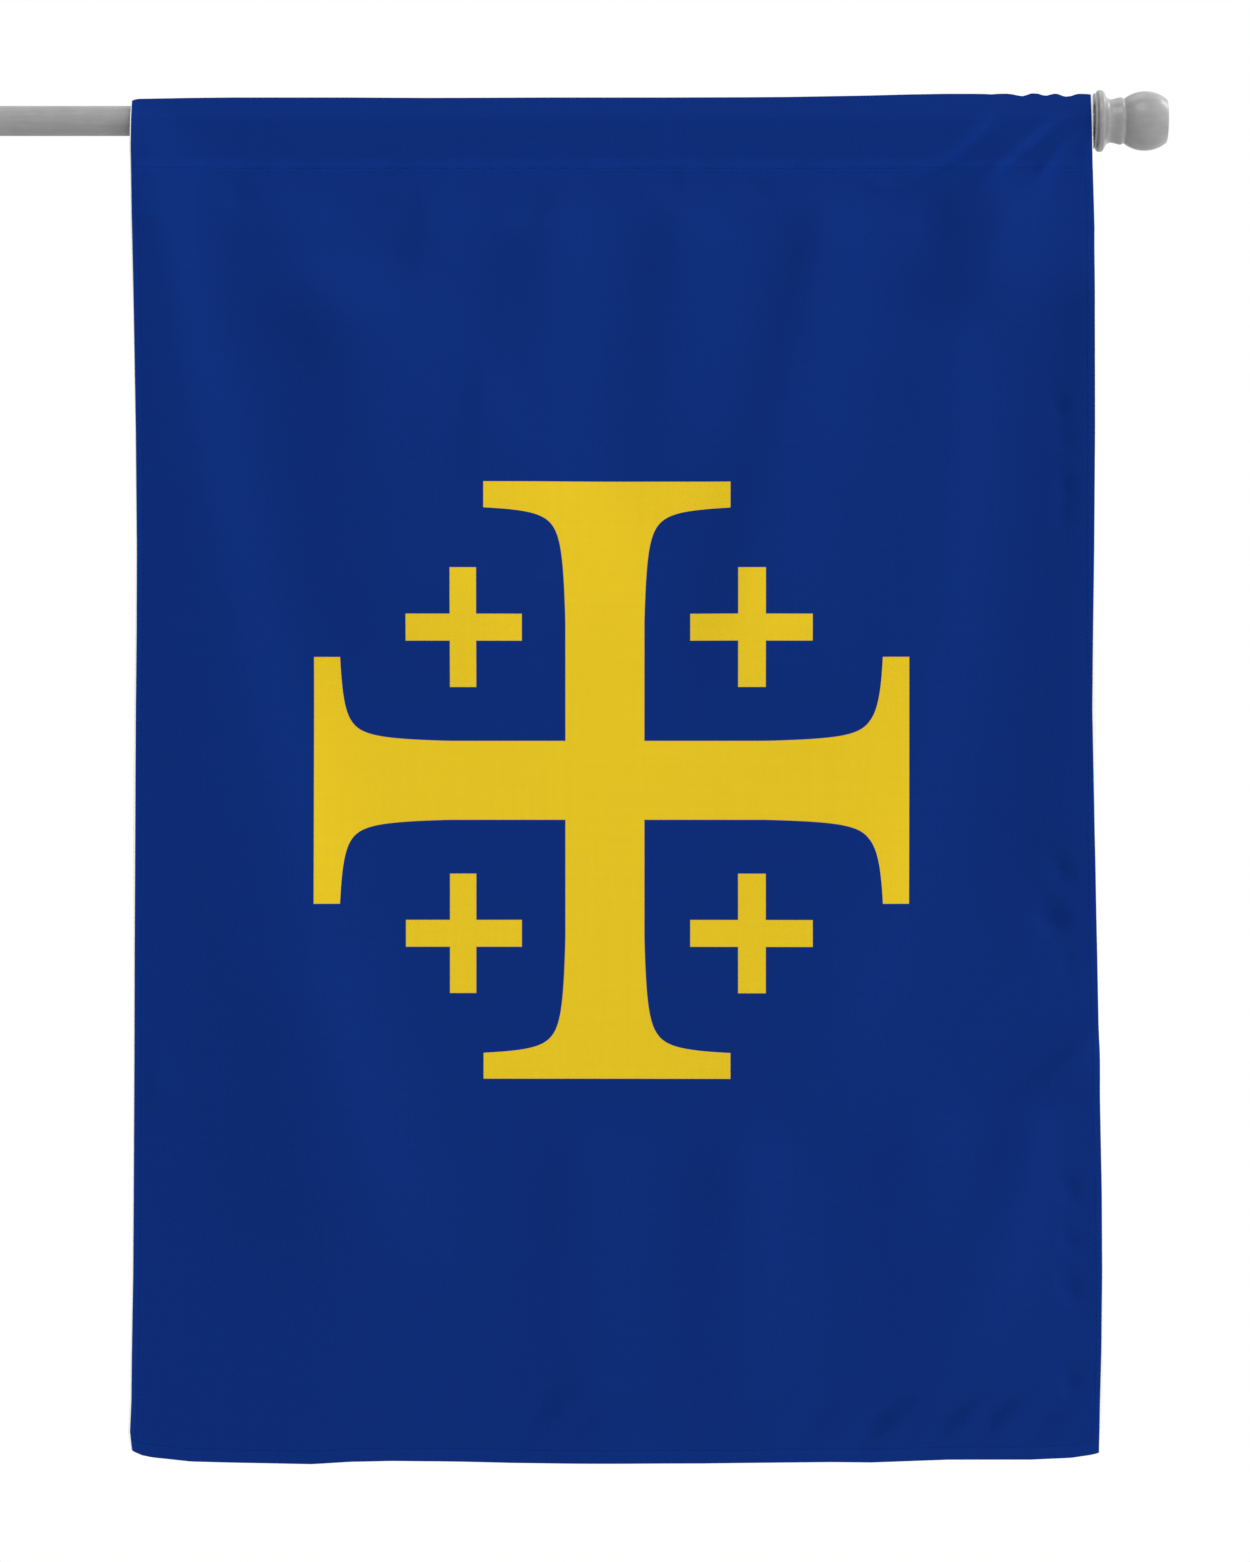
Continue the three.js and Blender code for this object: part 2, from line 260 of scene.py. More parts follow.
# Small dimples and swellings by the seams, each leaning as the thread pulls it.
PUCKERS = [
    Pucker(78, 56, 9, 10, 0, -1.6),
    Pucker(296, 66, 11, 12, -0.7, -2.6),
    Pucker(590, 72, 14, 18, -0.2, -2.9),
    Pucker(398, 50, 10, 9, 0, -1.3),
    Pucker(462, 52, 9, 9, 0.3, -1.1),
    Pucker(551, 48, 7, 5, 0, 1.3),
    Pucker(300, 944, 14, 18, -0.7, -4),
    Pucker(328, 961, 10, 11, -0.9, -2.2),
    Pucker(502, 953, 9, 13, -0.9, -3.2),
    Pucker(550, 954, 9, 15, -0.9, -5.4),
    Pucker(578, 958, 8, 10, -0.9, -2.4),
    Pucker(601, 953, 8, 14, -0.9, -4.6),
    Pucker(634, 950, 8, 13, -0.9, -5),
    Pucker(668, 957, 9, 10, -0.8, -2.6),
    Pucker(686, 925, 7, 7, 0.2, -3.4),
    Pucker(684, 212, 6, 7, 0, -2.6),
    Pucker(687, 236, 6, 6, 0, -2),
    Pucker(688, 271, 6, 8, 0, -3),
    Pucker(687, 290, 6, 7, 0, -2.2),
    Pucker(684, 550, 7, 7, 0.3, -3.2),
    Pucker(678, 587, 10, 9, 0.3, -5.4),
    Pucker(688, 618, 6, 9, 0, -1.8),
    Pucker(686, 784, 7, 8, 0.4, -3.4),
    Pucker(686, 822, 6, 7, 0.4, -2.4),
    Pucker(686, 857, 7, 9, 0.4, -3.4),
    Pucker(20, 705, 12, 16, 0, 1.6),
]

# The bottom hem from its edge up to plain cloth, with the cloth's depth each way.
HEM_ROWS = [
    HemRow(0, 0.08, 0.62),
    HemRow(0.3, 0.30, 0.95),
    HemRow(0.8, 0.42, 1.08),
    HemRow(3, 0.46, 1.12),
    HemRow(6, 0.46, 1.12),
    HemRow(8.4, 0.44, 1.10),
    HemRow(9.3, 0.30, 0.96),
    HemRow(9.8, 0.28, 0.94),
    HemRow(10.4, 0.44, 1.06),
    HemRow(10.9, 0.36, 0.80),
    HemRow(11.3, 0.24, 0.24),
]

# How far in from a side edge the cloth rounds over, and the depth that it keeps at the edge.
EDGE_ROUND = 0.8
EDGE_SHARE = 0.3

# How strongly the painted highlight lightens each hem, the seam and each millimetre of pulled
# slack, where the cloth catches the light. The seam's shows from over its foot to over its top,
# by where it starts or stops and over how far. The slack's grows in from the sleeve's left mouth.
LEFT_HEM_HIGHLIGHT = 1.6
RIGHT_HEM_HIGHLIGHT = 1
HEM_HIGHLIGHT_REACH = 9
BOTTOM_HEM_HIGHLIGHT = 0.35
SEAM_HIGHLIGHT = 0.85
SEAM_HIGHLIGHT_UNEVEN = 0.6
SEAM_HIGHLIGHT_LENGTH = 58
SEAM_HIGHLIGHT_IN = (1.5, 1.5)
SEAM_HIGHLIGHT_OUT = (3.5, 4)
PULL_HIGHLIGHT = 0.22
PULL_HIGHLIGHT_RUN = 120

# Places across the cloth at a side hem, and the first, the last and the number of those
# between the hems and at the crown's scallops.
HEM_COLUMNS = (0, 0.25, 0.8, 2.6, 4.6, 5.6, 6.2, 6.8, 7.1, 7.5, 8.6, 10.5, 13, 16, 20)
MIDDLE_COLUMNS = (24, 630, 142)
SCALLOP_COLUMNS = (632, 689, 30)

# Rows up the cloth: close ones over the bottom hem and the panel's first, by their height
# over its edge, the panel's last and their number, and the first, the last and the number of
# those below the seam.
ROWS_OVER_HEM = (12.4, 14, 16, 18.5, 21.5, 25, 29)
PANEL_START = 33
PANEL_ROWS = (-74, 158)
ROWS_BELOW_SEAM = (-70, -40, 11)

# The sleeve's seam from its foot to where its layers part.
SEAM_ROWS = [
    SeamRow(SEAM_FOOT, 0.22, 0.22),
    SeamRow(-39, 0.22, 0.75),
    SeamRow(-38.6, 0.24, 1.20),
    SeamRow(-37.8, 0.25, 1.35),
    SeamRow(-36.7, 0.25, 1.25),
    SeamRow(-36.3, 0.22, 1.02),
    SeamRow(SEAM_STITCH, 0.20, 0.96),
    SeamRow(-35.6, 0.24, 1.05),
    SeamRow(-35, 0.30, 1.30),
    SeamRow(-34.2, 0.35, 1.42),
    SeamRow(-33, 0.40, 1.45),
    SeamRow(-31.8, 0.44, 1.40),
    SeamRow(SEAM_TOP, 0.46, 1.30),
]

# The finial's turned profile from its base to its ball, then the sizes of the ball and of
# the socket for the pole.
FINIAL_START = 959.3
FINIAL_LENGTH = 54
TURNINGS = [
    Turning(0, 19.9),
    Turning(0.4, 20.2),
    Turning(1.6, 20.2),
    Turning(2.2, 21.4),
    Turning(3.3, 22.4),
    Turning(5.6, 22.5),
    Turning(7, 21.7),
    Turning(8, 19.8),
    Turning(8.9, 18),
    Turning(10, 16.8),
    Turning(12.1, 15.9),
    Turning(14.7, 16.1),
    Turning(17.6, 16.9),
    Turning(20.2, 17.3),
    Turning(21.8, 16.5),
]
BALL_CENTRE = 37.9
BALL_HALF_LENGTH = 23.4
BALL_RADIUS = 21.7
BALL_START = 22.6
BALL_STEPS = 30
BALL_RIM = 0.7
SOCKET_DEPTH = 22
SOCKET_RADIUS = 11.3
TURNING_STEPS = 4

# The end face's rounded edge as places back from the face and in from the ball's cut, and
# the pole's softened end as places in from its end and in from its radius.
FACE_EDGE = [(0.25, 0.35), (0, 1.1)]
FACE_MIDDLE = 5
POLE_EDGE = [(0, 1.2), (0.15, 0.6), (0.6, 0.15), (1.2, 0)]
POLE_STEPS = (6, 60)

# The sides of a turned piece's rings, and the largest angle in degrees that is shaded smooth.
TURNED_SEGMENTS = 96
SHARPEST_SMOOTH = 38

# The cross on the print: a large one with flared ends between four small plain ones. Its ink
# bleeds a little at the edge.
CROSS_ACROSS = 350.3
CROSS_DOWN = 484.6
CROSS_BAR = 57.7
CROSS_REACH = 218.6
CROSS_FOOT = 90.3
FLARE = 193.0
FLARE_END = 202.7
FLARE_START = 2.2
FLARE_LEAST = 0.5
SMALL_ACROSS = 105.6
SMALL_DOWN = 112.1
SMALL_BAR = 19.6
SMALL_REACH = 43.7
INK_BLEED = 0.3

# How far to the right the print lies off its true place, as the cloth took it up unevenly.
DRIFTS = [
    Drift(60, 0),
    Drift(134, 3.7),
    Drift(157, 3.8),
    Drift(201, 1.7),
    Drift(234, 0),
    Drift(254, -0.4),
    Drift(287, -0.9),
    Drift(319, -2.0),
    Drift(377, -1.9),
    Drift(410, -1.3),
    Drift(445, -0.2),
    Drift(466, 0.4),
    Drift(500, 0.8),
    Drift(543, 0.7),
    Drift(552, 1.9),
    Drift(571, 2.1),
    Drift(650, 0),
]

# The room's light, and how much brighter it is towards its bright side. The soft lights and
# the floor are placed in metres.
ROOM_LIGHT = 0.89
ROOM_SLOPE = 0.73
BRIGHT_SIDE = (0.95, -0.12, 0.28)
LIGHTS = [
    Light("upper_front", (0.6, -0.9, 1.1), 0.8, 5),
    Light("upper_right_behind", (2.44, 0.5, 1.3), 0.8, 9),
    Light("overhead", (0.6, 0.5, 1.6), 1.0, 3),
]
FLOOR_RADIUS = 1.0
FLOOR_HEIGHT = -1.32
FLOOR_SIDES = 96

# The thread of the cloth, drawn about twice as coarse as it is so that it shows up close, and
# the streaks of thick and thin yarns, each as wide as several of them for the same reason.
CLOTH_THREAD = 0.9
YARN_LENGTH = 111
YARN_WIDTH = 3.85

# The wood's wavy figure and its finer grain, by length and width, and the paint's mottle.
FIGURE_LENGTH = 45.5
FIGURE_WIDTH = 3.33
GRAIN_LENGTH = 25
GRAIN_WIDTH = 0.91
PAINT_MOTTLE = 14.3

# The pitch of the sewing thread's twist.
THREAD_TWIST = 0.4

# The rows of sewing: their stitches, how far from a side edge or the seam they start and stop,
# the foot of those at the sides, and the rings that make a stitch, by their share of its
# length and their height over the cloth.
SEWING_PITCH = 3.0
SEWING_LENGTH = 2.4
SEWING_RADIUS = 0.16
SEWING_SIDES = 5
SEWING_START = 2
SEWING_STOP = 4
SEWING_FOOT = -966
STITCH_RINGS = ((0.0, -0.1), (0.3, 0.1), (0.7, 0.1), (1.0, -0.1))


def table_at(rows, key, column, at):
    """A table's column where its key reads at, straight between rows."""
    keys = [getattr(row, key) for row in rows]
    values = [getattr(row, column) for row in rows]
    return np.interp(at, keys, values)


def smooth(share):
    held = np.clip(share, 0, 1)
    return held * held * (3 - 2 * held)


def uneven(place, length, turn):
    """A wave of about that length that never quite repeats, from -1 to 1."""
    phase = 2 * math.pi * place / length
    return sum(np.sin(pace * phase + shift * turn) for pace, shift in WAVES) / len(WAVES)


def fold_at(fold, along, height):
    """One fold's depth. It swells in and widens from its top, and dies out at its end."""
    length = fold.start - fold.end
    share = (fold.start - height) / length
    bend = 2 * (fold.top + fold.foot - 2 * fold.middle)
    crest = fold.top + share * (fold.foot - fold.top) + bend * share * (share - 1)
    swelling = smooth((fold.start - height) / min(RUN_IN, RUN_IN_SHARE * length))
    dying = smooth((height - fold.end) / min(RUN_OUT, RUN_OUT_SHARE * length))
    widened = np.clip(NARROW_TOP + WIDENING * share, NARROW_TOP, 1)
    width = np.where(along < crest, fold.left, fold.right) * widened
    return fold.depth * swelling * dying * np.exp(-(((along - crest) / width) ** 2))


def pucker_at(pucker, along, height):
    below = -height - pucker.down
    beside = along - pucker.along - pucker.lean * below
    return pucker.depth * np.exp(-((beside / pucker.wide) ** 2) - (below / pucker.tall) ** 2)


def slack_at(along, height):
    """How far the slack swells the front of the sleeve and the cloth just below it."""
    front = smooth((SLACK_FROM - height) / SLACK_RUN)
    return front * sum(fold_at(fold, along, height) for fold in PULLS)


def gathers(place, away, turn):
    """The fine gathers that a row of sewing draws up on either side of it."""
    drawn = GATHER_DEPTH * uneven(place, GATHER_LENGTH, turn)
    return drawn * np.exp(-((away / GATHER_REACH) ** 2))


def bottom_edge(along):
    return -table_at(BOTTOM, "along", "drop", along)


def panel_swell(along, height):
    """How far the hanging cloth stands to the front. The seam holds it straight."""
    grown = HELD_SHARE + (1 - HELD_SHARE) * smooth((SEAM_TOP - height) / HELD_RUN)
    swell = grown * sum(fold_at(fold, along, height) for fold in FOLDS)
    swell = swell + sum(pucker_at(pucker, along, height) for pucker in PUCKERS)
    swell = swell + slack_at(along, height)
    swell = swell + gathers(along, height - SEAM_STITCH, 0.7)
    swell = swell + gathers(along, height - bottom_edge(along) - BOTTOM_HEM, 2.3)
    swell = swell + gathers(height, along - SIDE_HEM, 4.1)
    swell = swell + gathers(height, CLOTH_WIDTH - along - SIDE_HEM, 5.3)
    depth, across, down = PANEL_RIPPLE
    return HANG_FORWARD + swell + depth * uneven(along, across, 1.2) * uneven(height, down, 0.4)


def side_at(column, height):
    return table_at(SIDES, "down", column, -height)


def place_x(along, height):
    """Where a place on the cloth's width lies across, with its uneven side edges."""
    left = CLOTH_LEFT + side_at("left", height) - side_at("left_margin", height)
    right = CLOTH_LEFT + CLOTH_WIDTH + side_at("right", height) + side_at("right_margin", height)
    return left + along / CLOTH_WIDTH * (right - left)


def print_reach(along, height):
    """How far inside the print's edge a place lies, less than nothing on bare cloth."""
    left = along - side_at("left_margin", height)
    right = CLOTH_WIDTH - along - side_at("right_margin", height)
    return np.minimum(left, right)


def edge_distance(along):
    return np.minimum(along, CLOTH_WIDTH - along)


def side_round(along):
    """The share of its depth that the cloth keeps where a side edge rounds over."""
    share = np.clip(edge_distance(along) / EDGE_ROUND, 0, 1)
    return EDGE_SHARE + (1 - EDGE_SHARE) * np.sqrt(1 - (1 - share) ** 2)


def painted_highlight_share(along, height):
    """How much lighter the cloth is painted on its hems, seam and pulls: a painted highlight."""
    strength = np.where(along < CLOTH_WIDTH / 2, LEFT_HEM_HIGHLIGHT, RIGHT_HEM_HIGHLIGHT)
    side = strength * np.clip(1 - edge_distance(along) / HEM_HIGHLIGHT_REACH, 0, 1)
    hem_top = bottom_edge(along) + BOTTOM_HEM + HEM_STEP / 2
    bottom = BOTTOM_HEM_HIGHLIGHT * smooth((hem_top - height) / HEM_STEP)
    start, run_in = SEAM_HIGHLIGHT_IN
    stop, run_out = SEAM_HIGHLIGHT_OUT
    seam = smooth((height - SEAM_FOOT - start) / run_in)
    seam = seam * smooth((SEAM_TOP + stop - height) / run_out)
    ripple = uneven(along, SEAM_HIGHLIGHT_LENGTH, 1.4)
    seam = seam * (SEAM_HIGHLIGHT + SEAM_HIGHLIGHT_UNEVEN * ripple)
    # Painted highlight on the pulled slack, as strong as the slack swells.
    slack_highlight = PULL_HIGHLIGHT * slack_at(along, height) * smooth(along / PULL_HIGHLIGHT_RUN)
    return np.maximum(np.maximum(side, bottom), seam) + slack_highlight


def column_places():
    """Places across the cloth, close together at the hems and at the crown's scallops."""
    far = [CLOTH_WIDTH - place for place in reversed(HEM_COLUMNS)]
    middle = [*np.linspace(*MIDDLE_COLUMNS), *np.linspace(*SCALLOP_COLUMNS)]
    return np.array([*HEM_COLUMNS, *middle, *far])


def panel_rows(along):
    """Heights up the panel at one place, with the depth of the cloth to front and back."""
    edge = float(bottom_edge(along))
    single = LAYER / 2
    rows = [(edge + row.up, row.front, row.back) for row in HEM_ROWS]
    heights = [edge + up for up in ROWS_OVER_HEM]
    heights += [*np.linspace(edge + PANEL_START, *PANEL_ROWS), *np.linspace(*ROWS_BELOW_SEAM)]
    rows += [(height, single, single) for height in heights]
    rows += [(row.height, row.front, row.back) for row in SEAM_ROWS]
    return np.array(rows)


def touch_turns(foot, radius):
    """The turns, from straight down and to the front first, where cloth pulled taut from a
    foot touches a round of that radius in front and behind."""
    towards = math.atan2(-foot[0], -foot[1])
    spread = math.acos(radius / math.hypot(*foot))
    return towards + spread, 2 * math.pi + towards - spread


def sleeve_ring(along, radius, crown, front_foot, back_foot):
    """The sleeve's section from the seam up the front, over the crown and down the back, as
    depth and height."""
    first, last = touch_turns(front_foot, radius)[0], touch_turns(back_foot, radius)[1]
    crease = math.pi - math.atan2(CREASE_FORWARD, crown)
    taut = math.acos(SLEEVE_RADIUS / math.hypot(CREASE_FORWARD, crown))
    away = (np.arange(RING_POINTS + 1) / RING_POINTS) ** RING_CROWDING
    turns = [crease + (first - crease) * away[:0:-1], crease + (last - crease) * away]
    turns = np.concatenate(turns)
    reach = radius / np.cos(np.maximum(taut - abs(turns - crease), 0))
    ring = np.stack([-reach * np.sin(turns), -reach * np.cos(turns)], axis=1)
    rise = [front_foot + share * (ring[0] - front_foot) for share in RISE_SHARES]
    fall = [ring[-1] + share * (back_foot - ring[-1]) for share in FALL_SHARES]
    section = np.array([*rise, *ring, *fall])
    height = section[:, 1]
    front = np.arange(len(section)) < len(rise) + RING_POINTS
    depth, across, down = SLEEVE_RIPPLE
    loose = depth * uneven(along, across, 0.9) * uneven(height, down, 2.2)
    loose = loose * smooth((SLACK_FROM - height) / SLACK_RUN)
    loose = loose * smooth((height - SEAM_TOP) / SLEEVE_RIPPLE_RUN)
    section[:, 0] -= front * (slack_at(along, height) + loose)
    return section


def cloth_section(along):
    """One section of the cloth, as its outer and inner rings of points and what each carries."""
    rows = panel_rows(along)
    height = rows[:, 0]
    x = place_x(along, height)
    swell = panel_swell(along, height)
    hem = 2 * LAYER * float(smooth((SIDE_HEM_END - edge_distance(along)) / HEM_STEP))
    back_depth = np.where(rows[:, 2] < LAYER, rows[:, 2] + hem, rows[:, 2])
    front = np.stack([x, -rows[:, 1] * side_round(along) - swell, height], axis=1)
    back = np.stack([x, back_depth * side_round(along) - swell, height], axis=1)
    crown = float(table_at(CROWN, "along", "height", along))
    wall = LAYER + hem
    tail = (front[-1] + back[-1]) / 2 + np.array([0, 0, PARTING])
    slack = np.array([float(slack_at(along, SEAM_TOP)), 0])
    outer = sleeve_ring(along, SLEEVE_RADIUS, crown, front[-1][1:] + slack, back[-1][1:])
    inner = sleeve_ring(along, SLEEVE_RADIUS - wall, crown, tail[1:] + slack, tail[1:])
    outer = np.insert(outer, 0, place_x(along, outer[:, 1]), axis=1)
    inner = np.insert(inner, 0, place_x(along, inner[:, 1]), axis=1)
    reach = print_reach(along, height)
    turned_in = edge_distance(along) < TURNED_IN
    back_reach = np.where(turned_in, -edge_distance(along) - 1, reach)
    back_reach[-len(SEAM_ROWS) :] = reach[-len(SEAM_ROWS) :]
    return {
        "outer": np.concatenate([front, outer, back[::-1]]),
        "inner": np.concatenate([[tail], inner]),
        "outer_reach": np.concatenate([reach, print_reach(along, outer[:, 2]), back_reach[::-1]]),
        "inner_reach": np.concatenate([[reach[-1]], print_reach(along, inner[:, 2])]),
        "panel": len(rows),
    }


def ring_faces(first, second, count, inward):
    """Quads between two closed rings of points, facing out or in. All are split along the same
    diagonal, on the way up and down, so that the two faces of the cloth don't cross."""
    faces = []
    for i in range(count):
        j = (i + 1) % count
        if inward:
            faces.append([first + i, first + j, second + j, second + i])
        elif i < count / 2:
            faces.append([first + i, second + i, second + j, first + j])
        else:
            faces.append([second + i, second + j, first + j, first + i])
    return faces


def cap_faces(panel, ring, outer_count):
    """Faces that close the end of the cloth that looks to +X."""
    faces = [[i, outer_count - 1 - i, outer_count - 2 - i, i + 1] for i in range(panel - 1)]
    front, back, tail = panel - 1, outer_count - panel, outer_count
    faces.append([front, back, tail])
    for i in range(ring):
        faces.append([front + i, tail + i, tail + i + 1, front + i + 1])
    faces.append([front + ring, tail + ring, tail, back])
    return faces


def cloth_faces(columns, panel, outer_count, inner_count):
    """Every face of the cloth, and one for each on the reverse of the print or else nothing."""
    size = outer_count + inner_count
    seam_foot = panel - len(SEAM_ROWS)
    reverse = range(outer_count - 1 - seam_foot, outer_count - len(HEM_ROWS))
    faces, sides = [], []
    for column in range(columns - 1):
        first, second = column * size, (column + 1) * size
        faces += ring_faces(first, second, outer_count, inward=False)
        sides += [int(i in reverse) for i in range(outer_count)]
        faces += ring_faces(first + outer_count, second + outer_count, inner_count, inward=True)
        sides += [1] * inner_count
    cap = cap_faces(panel, inner_count - 1, outer_count)
    last = (columns - 1) * size
    faces += [face[::-1] for face in cap]
    faces += [[last + corner for corner in face] for face in cap]
    return faces, sides + [0] * (2 * len(cap))


def build_cloth(face_side, reverse_side):
    """The whole flag as one thin closed sheet, with its flat places and its print's reach."""
    places = column_places()
    sections = [cloth_section(along) for along in places]
    outer_count = len(sections[0]["outer"])
    inner_count = len(sections[0]["inner"])
    points = np.concatenate([np.concatenate([s["outer"], s["inner"]]) for s in sections])
    reach = np.concatenate([np.concatenate([s["outer_reach"], s["inner_reach"]]) for s in sections])
    faces, sides = cloth_faces(len(places), sections[0]["panel"], outer_count, inner_count)
    mesh = bpy.data.meshes.new("flag_sheet")
    mesh.from_pydata((points * MM).tolist(), [], faces)
    mesh.materials.append(face_side)
    mesh.materials.append(reverse_side)
    mesh.polygons.foreach_set("material_index", sides)
    mesh.shade_smooth()
    add_flat_places(mesh, points)
    along = np.repeat(places, outer_count + inner_count)
    add_share(mesh, "print_reach", reach)
    # The painted highlight on the hems, seam and pulled slack, carried as a point attribute.
    add_share(mesh, "painted_highlight", painted_highlight_share(along, points[:, 2]))
    return add_object("flag_sheet", mesh)


def add_flat_places(mesh, points):
    """A UV map of the cloth laid flat, in metres from its left edge and from the pole down, with
    the print's small drift."""
    corners = np.zeros(len(mesh.loops), np.int32)
    mesh.loops.foreach_get("vertex_index", corners)
    across = points[:, 0] - CLOTH_LEFT
    drift = table_at(DRIFTS, "across", "shift", across)
    flat = np.stack([across - drift, -points[:, 2]], axis=1) * MM
    layer = mesh.uv_layers.new(name="flat_cloth")
    layer.data.foreach_set("uv", flat[corners].astype(np.float32).ravel())


def add_share(mesh, name, values):
    carried = mesh.attributes.new(name, "FLOAT", "POINT")
    carried.data.foreach_set("value", values.astype(np.float32))


def add_object(name, mesh):
    made = bpy.data.objects.new(name, mesh)
    bpy.context.scene.collection.objects.link(made)
    return made


def skin_points(along, height, depth):
    """Places on the cloth, that depth behind the middle of its front layer."""
    return np.stack([place_x(along, height), depth - panel_swell(along, height), height], axis=1)


def stitch_row(starts, ends, outward):
    """Points of a row of stitches, each of rings round a thread that sinks in at its ends."""
    rings = []
    along = ends - starts
    along = along / np.linalg.norm(along, axis=1)[:, None]
    aside = np.cross(along, outward)
    for share, lift in STITCH_RINGS:
        centres = starts + share * (ends - starts) + lift * outward
        for turn in np.arange(SEWING_SIDES) * 2 * math.pi / SEWING_SIDES:
            spoke = math.cos(turn) * outward + math.sin(turn) * aside
            rings.append(centres + SEWING_RADIUS * spoke)
    return np.stack(rings, axis=1).reshape(-1, 3)


def sewing_lines():
    """Each row of sewing as places along and heights at its stitches' starts and ends, with
    the depth of the cloth at its front and back."""
    across = np.arange(SEWING_START, CLOTH_WIDTH - SEWING_STOP, SEWING_PITCH)
    low = np.arange(SEWING_FOOT, SEAM_FOOT - SEWING_STOP, SEWING_PITCH)
    length = SEWING_LENGTH
    seam = np.full_like(across, SEAM_STITCH)
    hem = bottom_edge(across) + HEM_STITCH
    hem_end = bottom_edge(across + length) + HEM_STITCH
    left = np.full_like(low, SIDE_STITCH)
    right = np.full_like(low, CLOTH_WIDTH - SIDE_STITCH)
    return {
        "sleeve_sewing": Sewing(across, seam, across + length, seam, -0.22, 0.98),
        "bottom_sewing": Sewing(across, hem, across + length, hem_end, -0.28, 0.94),
        "left_sewing": Sewing(left, low, left, low + length, -0.21, 1.05),
        "right_sewing": Sewing(right, low, right, low + length, -0.21, 1.05),
    }


def build_sewing(name, line, material):
    """One row of lockstitch, seen on both faces of the cloth, as a joined mesh of threads."""
    points = []
    for depth, look in ((line.front, -1.0), (line.back, 1.0)):
        starts = skin_points(line.along, line.height, depth)
        ends = skin_points(line.along_end, line.height_end, depth)
        outward = np.tile([0.0, look, 0.0], (len(starts), 1))
        points.append(stitch_row(starts, ends, outward))
    points = np.concatenate(points)
    faces = []
    sides = SEWING_SIDES
    last = sides * (len(STITCH_RINGS) - 1)
    for base in range(0, len(points), last + sides):
        for first in range(base, base + last, sides):
            for i in range(sides):
                j = (i + 1) % sides
                faces.append([first + i, first + j, first + sides + j, first + sides + i])
        faces.append([base + i for i in reversed(range(sides))])
        faces.append([base + last + i for i in range(sides)])
    mesh = bpy.data.meshes.new(name)
    mesh.from_pydata((points * MM).tolist(), [], faces)
    mesh.materials.append(material)
    mesh.shade_smooth()
    return add_object(name, mesh)


def turned_piece(name, profile, start, material):
    """A profile of places along the pole and radii, turned round the pole's axis."""
    points, faces, rings = [], [], []
    segments = TURNED_SEGMENTS
    turns = [2 * math.pi * i / segments for i in range(segments)]
    for along, radius in profile:
        x = (start + along) * MM
        if radius == 0:
            rings.append([len(points)] * segments)
            points.append((x, 0, 0))
            continue
        rings.append(list(range(len(points), len(points) + segments)))
        points += [(x, radius * MM * math.cos(t), radius * MM * math.sin(t)) for t in turns]
    for near, far in zip(rings, rings[1:]):
        for i in range(segments):
            j = (i + 1) % segments
            corners = [near[i], far[i], far[j], near[j]]
            faces.append(list(dict.fromkeys(corners)))
    mesh = bpy.data.meshes.new(name)
    mesh.from_pydata(points, [], faces)
    mesh.materials.append(material)
    mesh.shade_smooth()
    mesh.set_sharp_from_angle(angle=math.radians(SHARPEST_SMOOTH))
    return add_object(name, mesh)


def pole_profile():
    """The pole from its butt to its end in the finial, with softened ends."""
    low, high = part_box("pole")
    radius = (high.z - low.z) / 2 / MM
    length = (high.x - low.x) / MM
    ends = [(0, 0)] + [(along, radius - inward) for along, inward in POLE_EDGE]
    first, steps = POLE_STEPS
    middle = [(float(along), radius) for along in np.linspace(first, length - first, steps)]
    return ends + middle + [(length - along, reach) for along, reach in reversed(ends)]


def rounded(rows, steps):
    """A smooth curve through a table of turnings."""
    points = [np.array(row, float) for row in rows]
    points = [2 * points[0] - points[1], *points, 2 * points[-1] - points[-2]]
    curve = []
    for a, b, c, d in zip(points, points[1:], points[2:], points[3:]):
        for t in np.arange(steps) / steps:
            bend = (2 * a - 5 * b + 4 * c - d) * t**2 + (3 * b - a - 3 * c + d) * t**3
            curve.append(0.5 * (2 * b + (c - a) * t + bend))
    return [tuple(point) for point in curve] + [tuple(points[-2])]


def finial_profile():
    """The finial from the bottom of its socket, out over its turnings and ball, to its face."""
    ends = (BALL_START, FINIAL_LENGTH - BALL_RIM)
    angles = [math.acos((BALL_CENTRE - along) / BALL_HALF_LENGTH) for along in ends]
    ball = []
    for angle in np.linspace(*angles, BALL_STEPS):
        along = BALL_CENTRE - BALL_HALF_LENGTH * math.cos(angle)
        ball.append((along, BALL_RADIUS * math.sin(angle)))
    edge = ball[-1][1]
    socket = [(SOCKET_DEPTH, 0), (SOCKET_DEPTH, SOCKET_RADIUS)]
    mouth = [(0.6, SOCKET_RADIUS), (0, SOCKET_RADIUS + 0.4)]
    rim = [(FINIAL_LENGTH - back, edge - inward) for back, inward in FACE_EDGE]
    face = [(FINIAL_LENGTH, FACE_MIDDLE), (FINIAL_LENGTH, 0)]
    return socket + mouth + rounded(TURNINGS, TURNING_STEPS) + ball + rim + face


def linear(code):
    """A colour for the shaders from its sRGB hex code."""
    parts = [int(code[i : i + 2], 16) / 255 for i in (1, 3, 5)]
    return [p / 12.92 if p <= 0.04045 else ((p + 0.055) / 1.055) ** 2.4 for p in parts] + [1.0]


